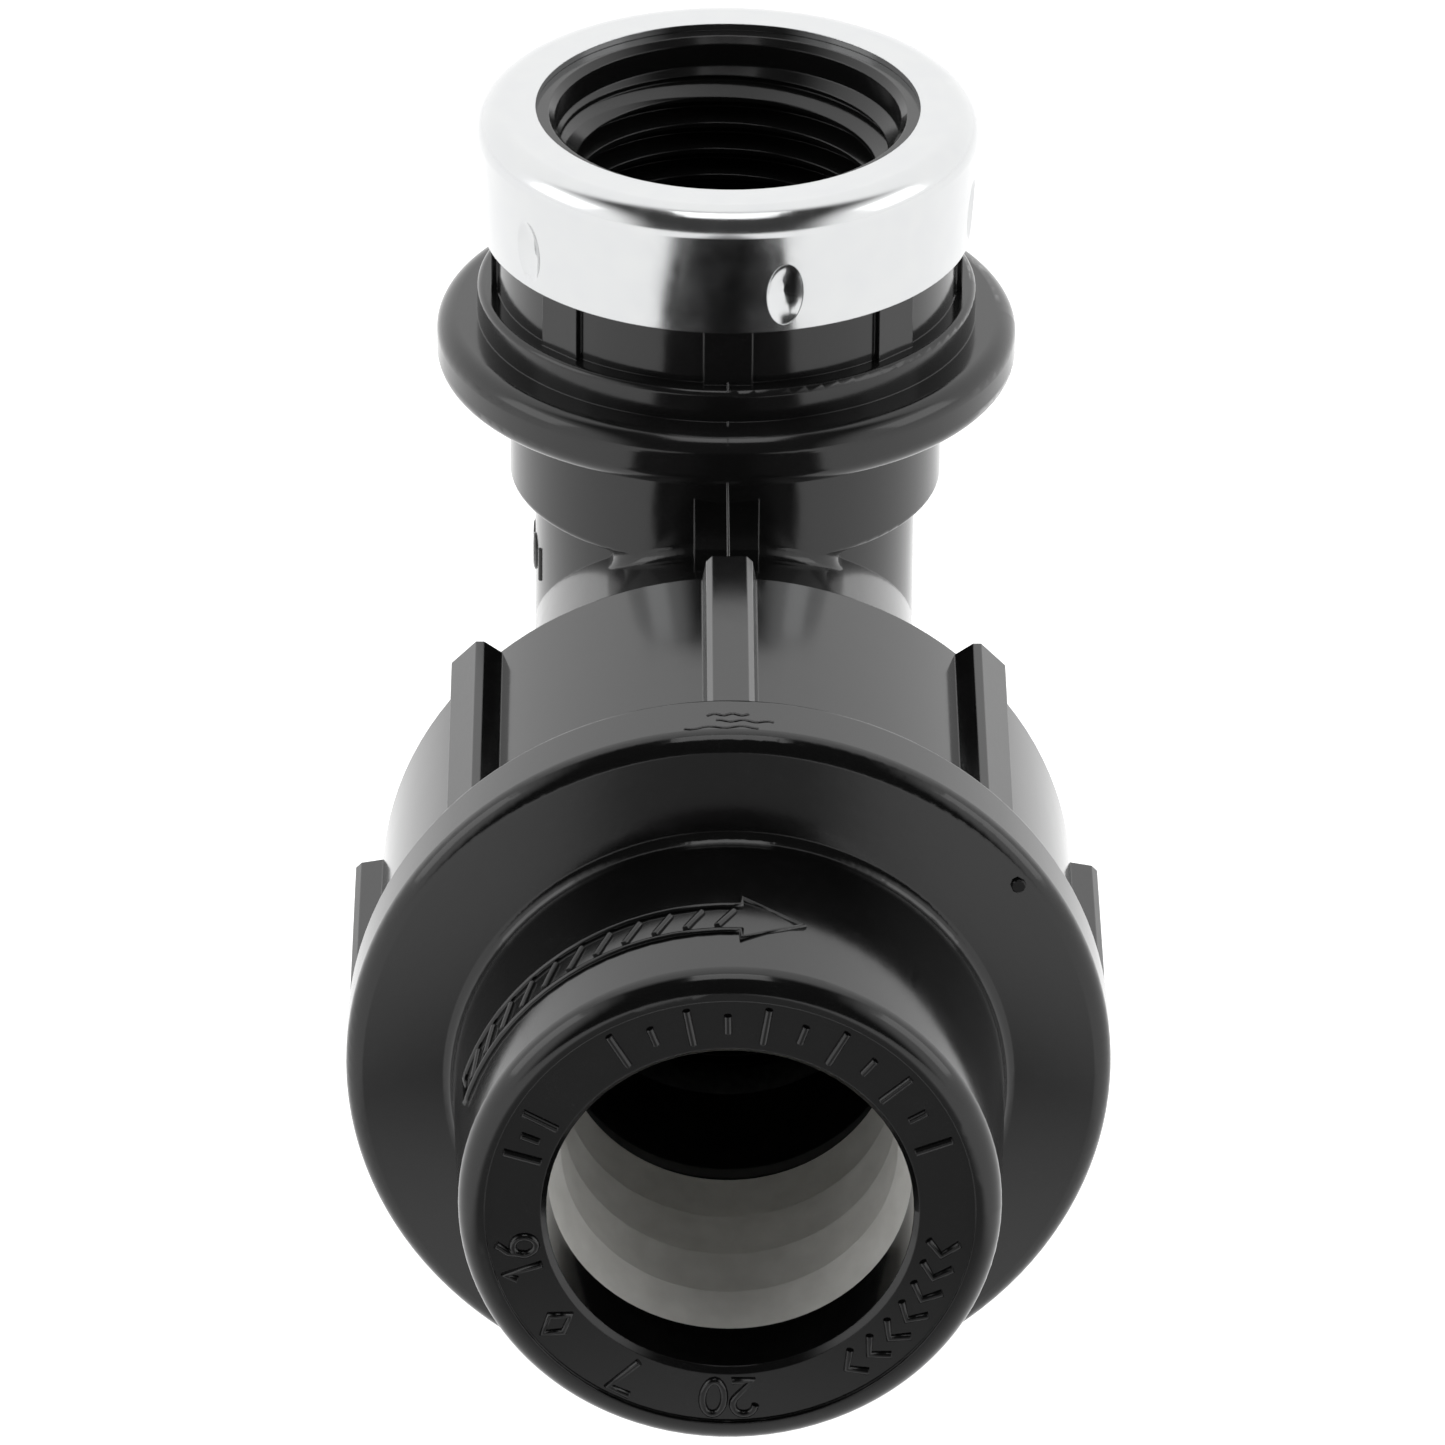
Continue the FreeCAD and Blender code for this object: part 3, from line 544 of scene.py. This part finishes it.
@dataclass
class ThreadedPort:
    """The elbow moulding: its finish, its parting line and the figures on its side."""

    plastic: bpy.types.Material
    seam: float = 0.09 * MM
    seam_gap: float = 0.2 * MM
    seam_foot: float = 13.0 * MM
    seam_over: tuple[float, float] = (-18.6 * MM, -30.0 * MM)
    seam_turn: int = 3
    mark_high: float = 2.2 * MM
    mark_pitch: float = 0.85
    mark_bead: float = 0.2 * MM
    mark_lift: float = 0.05 * MM
    mark_drop: float = 5.5 * MM
    reach: float = 40 * MM
    step: float = 0.25 * MM

    def build(self) -> None:
        """Dress the moulding and add what its mould left on it."""
        node = frame["nodes"]["elbow_body"]
        dress(node, self.plastic)
        self.skin = Skin("elbow_body")
        places = {mount["name"]: mount["pos_m"] for mount in frame["record"]["mounts"]}
        self.axis_z = places["pipe_entry"][2]
        self.add_parting_line()
        self.add_side_marks()

    def add_parting_line(self) -> None:
        """The fine ridge where the two halves of the mould met, round the moulding's middle plane."""
        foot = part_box("reinforcing_ring")[0].z - self.seam_gap
        start, end = self.seam_over
        front = self.ridge(self.up_port(foot, self.axis_z + self.seam_foot), Vector((0, -1, 0)))
        back = self.ridge(self.up_port(foot, self.axis_z), Vector((0, 1, 0)))
        for degrees in range(self.seam_turn, 90, self.seam_turn):
            turn = math.radians(degrees)
            outward = Vector((0, math.cos(turn), -math.sin(turn)))
            back += self.ridge([Vector((0, 0, self.axis_z))], outward)
        back += self.ridge(self.along_barrel(0.0, end), Vector((0, 0, -1)))
        over = self.ridge(self.along_barrel(start, end), Vector((0, 0, 1)))
        mesh = bead_mesh("parting_line", [front, back, over], self.seam)
        add_piece("parting_line", mesh, "elbow", self.plastic)

    def up_port(self, first: float, last: float) -> list[Vector]:
        """Points on the port's axis between two heights."""
        return [Vector((0, 0, z)) for z in self.steps(first, last)]

    def along_barrel(self, first: float, last: float) -> list[Vector]:
        """Points on the pipe's axis between two places."""
        return [Vector((0, y, self.axis_z)) for y in self.steps(first, last)]

    def steps(self, first: float, last: float) -> list[float]:
        """Evenly spaced values from first to last, about one step apart."""
        count = max(2, round(abs(last - first) / self.step))
        return [first + (last - first) * i / count for i in range(count + 1)]

    def ridge(self, middles: list[Vector], outward: Vector) -> list[Vector]:
        """Where rays from outside meet the moulding.

        Args:
            middles: points on the moulding's own axis, one for each ray.
            outward: the side that the rays come from.

        Returns:
            The points met, sunk by the ridge's own radius.
        """
        return [self.skin.at(m + outward * self.reach, -outward, -self.seam) for m in middles]

    def add_side_marks(self) -> None:
        """Raised figures on the left of the knee: the pipe's size between two bars."""
        row = [Mark.TALL, Mark.TWO, Mark.ZERO, Mark.TALL]
        lines = []
        for i, mark in enumerate(row):
            shift = (i - (len(row) - 1) / 2) * self.mark_high * self.mark_pitch
            for stroke in mark.strokes():
                lines.append([self.on_left(shift + x * self.mark_high, y) for x, y in stroke])
        mesh = bead_mesh("side_marks", lines, self.mark_bead)
        add_piece("side_marks", mesh, "elbow", self.plastic)

    def on_left(self, along: float, up: float) -> Vector:
        """A point of a side mark, on the moulding.

        Args:
            along: distance along the row of figures.
            up: height within a figure, from 0 to 1.

        Returns:
            The point.
        """
        z = self.axis_z + self.mark_drop + (up - 0.5) * self.mark_high
        return self.skin.at(Vector((-self.reach, -along, z)), Vector((1, 0, 0)), -self.mark_lift)


@dataclass
class SteelRing:
    """The pressed ring over the port."""

    steel: bpy.types.Material

    def build(self) -> None:
        """Dress the ring."""
        dress(frame["nodes"]["reinforcing_ring"], self.steel)


@dataclass
class SealingParts:
    """Seal, bush and grip ring inside the nut."""

    rubber: bpy.types.Material
    bush_plastic: bpy.types.Material
    acetal: bpy.types.Material

    def build(self) -> None:
        """Dress the three hidden pieces."""
        dress(frame["nodes"]["o_ring"], self.rubber)
        dress(frame["nodes"]["packing_bush"], self.bush_plastic)
        dress(frame["nodes"]["grip_ring"], self.acetal)


@dataclass
class CompressionNut:
    """The nut: its finish, the marks round its face, the turning arrow and what its mould left."""

    plastic: bpy.types.Material
    face_radius: float = 12.65 * MM
    figure_high: float = 2.3 * MM
    figure_bead: float = 0.24 * MM
    figure_lift: float = 0.02 * MM
    arrow_rear: float = 8.8 * MM
    arrow_wide: float = 4.4 * MM
    arrow_shaft: float = 0.62
    arrow_bead: float = 0.22 * MM
    arrow_lift: float = 0.03 * MM
    arrow_turns: tuple[float, float, float] = (-74, 2, 15)
    arrow_count: int = 38
    slash_count: int = 11
    slash_first: float = 5.0
    slash_pitch: float = 6.6
    slash_lean: float = 3.5
    slash_high: float = 0.6
    dot_turn: float = 52.5
    dot_radius: float = 21.4 * MM
    dot_high: float = 0.45 * MM
    tear_place: float = -55.9 * MM
    tear_pitch: float = 0.75 * MM
    tear_shifts: tuple[float, ...] = (-1.5, 2.0, -0.5)
    tear_wide: float = 11.0
    tear_taper: float = 0.22
    tear_count: int = 12
    tear_wave: float = 0.12 * MM
    tear_phases: tuple[float, float] = (5.1, 2)
    tear_bead: float = 0.16 * MM
    tear_sunk: float = 0.55
    reach: float = 60 * MM

    def build(self) -> None:
        """Dress the nut and add its moulded marks."""
        dress(frame["nodes"]["compression_nut"], self.plastic)
        self.skin = Skin("compression_nut")
        self.low, self.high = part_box("compression_nut")
        self.axis_z = (self.low.z + self.high.z) / 2
        self.add_face_marks()
        self.add_arrow()
        self.add_nibs()

    def outward(self, degrees: float) -> Vector:
        """The direction away from the nut's axis at that angle."""
        turn = math.radians(degrees)
        return Vector((math.sin(turn), 0, math.cos(turn)))

    def on_face(self, degrees: float, radius: float) -> Vector:
        """A point on the front face.

        Args:
            degrees: angle round the axis.
            radius: distance from the axis.

        Returns:
            The point.
        """
        start = Vector((0, self.low.y - self.reach, self.axis_z)) + self.outward(degrees) * radius
        return self.skin.at(start, Vector((0, 1, 0)), self.figure_lift)

    def on_side(self, degrees: float, y: float, lift: float) -> Vector:
        """A point on the outside of the neck or the flange's rim.

        Args:
            degrees: angle round the axis.
            y: place along the axis.
            lift: how far off the surface.

        Returns:
            The point.
        """
        out = self.outward(degrees)
        return self.skin.at(Vector((0, y, self.axis_z)) + out * self.reach, -out, lift)

    def add_face_marks(self) -> None:
        """Raised bars, chevrons and figures round the sunk ring of the front face."""
        lines = []
        for first, pitch, row in FACE_ROWS:
            for i, mark in enumerate(row):
                for stroke in mark.strokes():
                    lines.append([self.in_ring(first + pitch * i, x, y) for x, y in stroke])
        mesh = bead_mesh("face_marks", lines, self.figure_bead)
        add_piece("face_marks", mesh, "nut", self.plastic)

    def in_ring(self, degrees: float, across: float, up: float) -> Vector:
        """A point of a mark that stands with its foot towards the axis.

        Args:
            degrees: the mark's angle.
            across: distance across the mark, in mark heights.
            up: distance up the mark, in mark heights.

        Returns:
            The point on the face.
        """
        turn = math.degrees(across * self.figure_high / self.face_radius)
        return self.on_face(degrees + turn, self.face_radius + (up - 0.5) * self.figure_high)

    def add_arrow(self) -> None:
        """A raised arrow round the neck that shows which way the nut tightens."""
        half = self.arrow_wide / 2
        middle = self.low.y + self.arrow_rear - half
        shaft = half * self.arrow_shaft
        tail, neck, tip = self.arrow_turns
        count = self.arrow_count
        steps = [tail + (neck - tail) * i / count for i in range(count + 1)]
        outline = [(a, middle + shaft) for a in steps]
        outline += [(neck, middle + half), (tip, middle), (neck, middle - half)]
        outline += [(a, middle - shaft) for a in reversed(steps)]
        outline.append(outline[0])
        strokes = [outline]
        inner = shaft * self.slash_high
        for i in range(self.slash_count):
            foot = tail + self.slash_first + self.slash_pitch * i
            strokes.append([
                (foot, middle - inner),
                (foot + self.slash_lean / 2, middle),
                (foot + self.slash_lean, middle + inner),
            ])
        lines = [[self.on_side(a, y, self.arrow_lift) for a, y in stroke] for stroke in strokes]
        mesh = bead_mesh("turning_arrow", lines, self.arrow_bead)
        add_piece("turning_arrow", mesh, "nut", self.plastic)

    def add_nibs(self) -> None:
        """The ejector's dot on the flange and the torn gate on top of its rim."""
        centre = self.on_face(self.dot_turn, self.dot_radius)
        dot = [centre + Vector((0, k * self.dot_high, 0)) for k in (0.5, 0.0, -0.5)]
        add_piece("rim_dot", bead_mesh("rim_dot", [dot], self.dot_high), "nut", self.plastic)
        torn = [self.torn_edge(i, shift) for i, shift in enumerate(self.tear_shifts)]
        add_piece(
            "gate_scar", bead_mesh("gate_scar", torn, self.tear_bead), "nut", self.plastic
        )

    def torn_edge(self, row: int, shift: float) -> list[Vector]:
        """One wavy edge of the torn gate.

        Args:
            row: its number, from the front.
            shift: degrees from the top of the rim to its middle.

        Returns:
            The points of the edge.
        """
        count = self.tear_count
        by_point, by_row = self.tear_phases
        span = self.tear_wide * (1 - self.tear_taper * row)
        points = []
        for k in range(count + 1):
            wave = self.tear_wave * math.sin(by_point * k + by_row * row)
            y = self.tear_place + self.tear_pitch * row + wave
            turn = shift + span * (k / count - 0.5)
            points.append(self.on_side(turn, y, -self.tear_bead * self.tear_sunk))
        return points


@dataclass
class Studio:
    """Pale floor, soft light from all round, and the camera."""

    lens: float = 286.5
    sensor: float = 36.0
    clips: tuple[float, float] = (0.05, 20.0)
    distance: float = 697.07 * MM
    elevation: float = 28.54
    azimuth: float = -0.52
    roll: float = 0.49
    floor_colour: str = "#a8a8a8"
    floor_roughness: float = 0.9
    # Painted shadow on the floor: its glow falls to the dim value in front of the pipe end and rises
    # behind it and to both sides. The steel ring and the nut's flange also reflect this painted dark.
    floor_glows: tuple[float, float] = (0.0, 1.05)
    painted_shadow_fade: tuple[float, float] = (-112 * MM, -58 * MM)
    shade_half: tuple[float, float] = (24 * MM, 48 * MM)
    room_glows: tuple[float, float] = (0.06, 1.45)
    wall_fade: tuple[float, float] = (-0.05, 0.3)
    side_fade: tuple[float, float] = (0.5, 0.8)
    aim_point: tuple[float, float, float] = (-0.338 * MM, -35 * MM, -24.248 * MM)
    floor_half: float = 3.0
    box_side: float = 0.4
    boxes: tuple[tuple[str, tuple[float, float, float], float], ...] = (
        ("left_box", (-0.7, -0.1, 0.3), 1.2),
        ("right_box", (0.7, -0.1, 0.3), 1.2),
        ("top_box", (0.0, -0.15, 0.85), 2.2),
    )

    def build(self) -> None:
        """Make floor, world, lamps and camera."""
        self.aim = Vector(self.aim_point)
        self.add_floor()
        self.add_world()
        self.add_lamps()
        self.add_camera()

    def dim_in_front(
        self,
        tree: bpy.types.NodeTree,
        coordinate: str,
        behind: tuple[float, float],
        beside: tuple[float, float],
        glows: tuple[float, float],
    ) -> bpy.types.NodeSocket:
        """A glow that is dim in front of the pipe end, and full behind and at both sides.

        Args:
            tree: the floor's or world's node tree.
            coordinate: the texture coordinate that it follows.
            behind: places along Y between which it rises.
            beside: distances to the side between which it rises.
            glows: the dim glow and the full one.

        Returns:
            The glow.
        """
        place = add_node(tree, "ShaderNodeTexCoord").outputs[coordinate]
        split = add_node(tree, "ShaderNodeSeparateXYZ", {}, {"Vector": place})
        across = add_node(tree, "ShaderNodeMath", {"operation": "ABSOLUTE"}, {0: split.outputs["X"]})
        rises = []
        for value, (start, end) in ((split.outputs["Y"], behind), (across.outputs["Value"], beside)):
            rise = add_node(
                tree, "ShaderNodeMapRange",
                {"interpolation_type": "SMOOTHSTEP", "From Min": start, "From Max": end},
                {"Value": value},
            )
            rises.append(rise.outputs["Result"])
        most = add_node(tree, "ShaderNodeMath", {"operation": "MAXIMUM"}, dict(enumerate(rises)))
        dim, full = glows
        glow = add_node(
            tree, "ShaderNodeMapRange", {"To Min": dim, "To Max": full}, {"Value": most.outputs["Value"]}
        )
        return glow.outputs["Result"]

    def add_floor(self) -> None:
        """A wide pale light table with painted shadow in front of the pipe end: its glow is dimmed there
        to stand in for the fitting's shadow, and the steel ring and the nut's flange reflect that painted
        dark.
        """
        half = self.floor_half
        ground = CAD_BOX[0][2]
        corners = [(x * half, y * half, ground) for x, y in ((-1, -1), (1, -1), (1, 1), (-1, 1))]
        mesh = bpy.data.meshes.new("floor")
        mesh.from_pydata(corners, [], [(0, 1, 2, 3)])
        floor = bpy.data.objects.new("floor", mesh)
        bpy.context.scene.collection.objects.link(floor)
        material = bpy.data.materials.new("light_table_painted_shadow")
        material.use_nodes = True
        tree = material.node_tree
        tree.nodes.clear()
        # Painted shadow: the emission dims in front of the pipe end, in place of the fitting's real
        # shadow.
        glow = self.dim_in_front(tree, "Object", self.painted_shadow_fade, self.shade_half, self.floor_glows)
        shader = add_node(
            tree, "ShaderNodeBsdfPrincipled",
            {
                "Base Color": linear(self.floor_colour),
                "Roughness": self.floor_roughness,
                "Specular IOR Level": 0.0,
                "Emission Color": linear("#ffffff"),
            },
            {"Emission Strength": glow},
        )
        add_node(tree, "ShaderNodeOutputMaterial", {}, {"Surface": shader.outputs["BSDF"]})
        dress(floor, material)

    def add_world(self) -> None:
        """White walls behind the fitting and at its sides, and a dim room on the pipe end's side."""
        world = bpy.data.worlds.new("studio")
        bpy.context.scene.world = world
        world.use_nodes = True
        tree = world.node_tree
        tree.nodes.clear()
        strength = self.dim_in_front(tree, "Generated", self.wall_fade, self.side_fade, self.room_glows)
        glow = add_node(
            tree, "ShaderNodeBackground", {"Color": linear("#ffffff")}, {"Strength": strength}
        )
        add_node(tree, "ShaderNodeOutputWorld", {}, {"Surface": glow.outputs["Background"]})

    def add_lamps(self) -> None:
        """A soft box overhead and one at each side."""
        for name, place, glow in self.boxes:
            light = bpy.data.lights.new(name, "AREA")
            light.shape = "SQUARE"
            light.size = self.box_side
            light.energy = glow * math.pi * self.box_side * self.box_side
            lamp = bpy.data.objects.new(name, light)
            lamp.location = place
            lamp.rotation_euler = (self.aim - Vector(place)).to_track_quat("-Z", "Y").to_euler()
            bpy.context.scene.collection.objects.link(lamp)

    def add_camera(self) -> None:
        """A long lens that looks down the pipe's axis from the pipe end."""
        az = math.radians(self.azimuth)
        el = math.radians(self.elevation)
        forward = Vector((-math.sin(az) * math.cos(el), math.cos(az) * math.cos(el), -math.sin(el)))
        data = bpy.data.cameras.new("camera")
        data.lens = self.lens
        data.sensor_width = self.sensor
        data.clip_start, data.clip_end = self.clips
        camera = bpy.data.objects.new("camera", data)
        camera.location = self.aim - forward * self.distance
        camera.rotation_mode = "QUATERNION"
        turn = forward.to_track_quat("-Z", "Y")
        camera.rotation_quaternion = Quaternion(forward, -math.radians(self.roll)) @ turn
        bpy.context.scene.collection.objects.link(camera)
        bpy.context.scene.camera = camera
        bpy.context.scene.view_settings.view_transform = "Standard"


def main() -> None:
    """Dress every CAD node, add the moulded details and set up the studio."""
    logging.basicConfig(level=logging.INFO, format="%(name)s: %(message)s")
    black = MouldedPolypropylene(
        "moulded_polypropylene", "#151515", 0.14, 0.12 * MM, drag_stretch=(1.0, 1.0, 9.0)
    ).build()
    nut_black = MouldedPolypropylene("moulded_polypropylene_nut", "#0b0b0b", 0.11, 0.12 * MM).build()
    bush_black = MouldedPolypropylene("moulded_polypropylene_bush", "#151515", 0.42, 0.15 * MM).build()
    steel = PressedStainless("pressed_stainless", "#c6c7c7", 0.16, 0.1 * MM).build()
    acetal = MouldedAcetal("moulded_acetal", "#f0efeb", 0.35, 0.06 * MM).build()
    rubber = NitrileRubber("nitrile_rubber", "#141414", 0.62, 0.1 * MM).build()
    ThreadedPort(black).build()
    SteelRing(steel).build()
    SealingParts(rubber, bush_black, acetal).build()
    CompressionNut(nut_black).build()
    Studio().build()


if __name__ == "__main__":
    main()
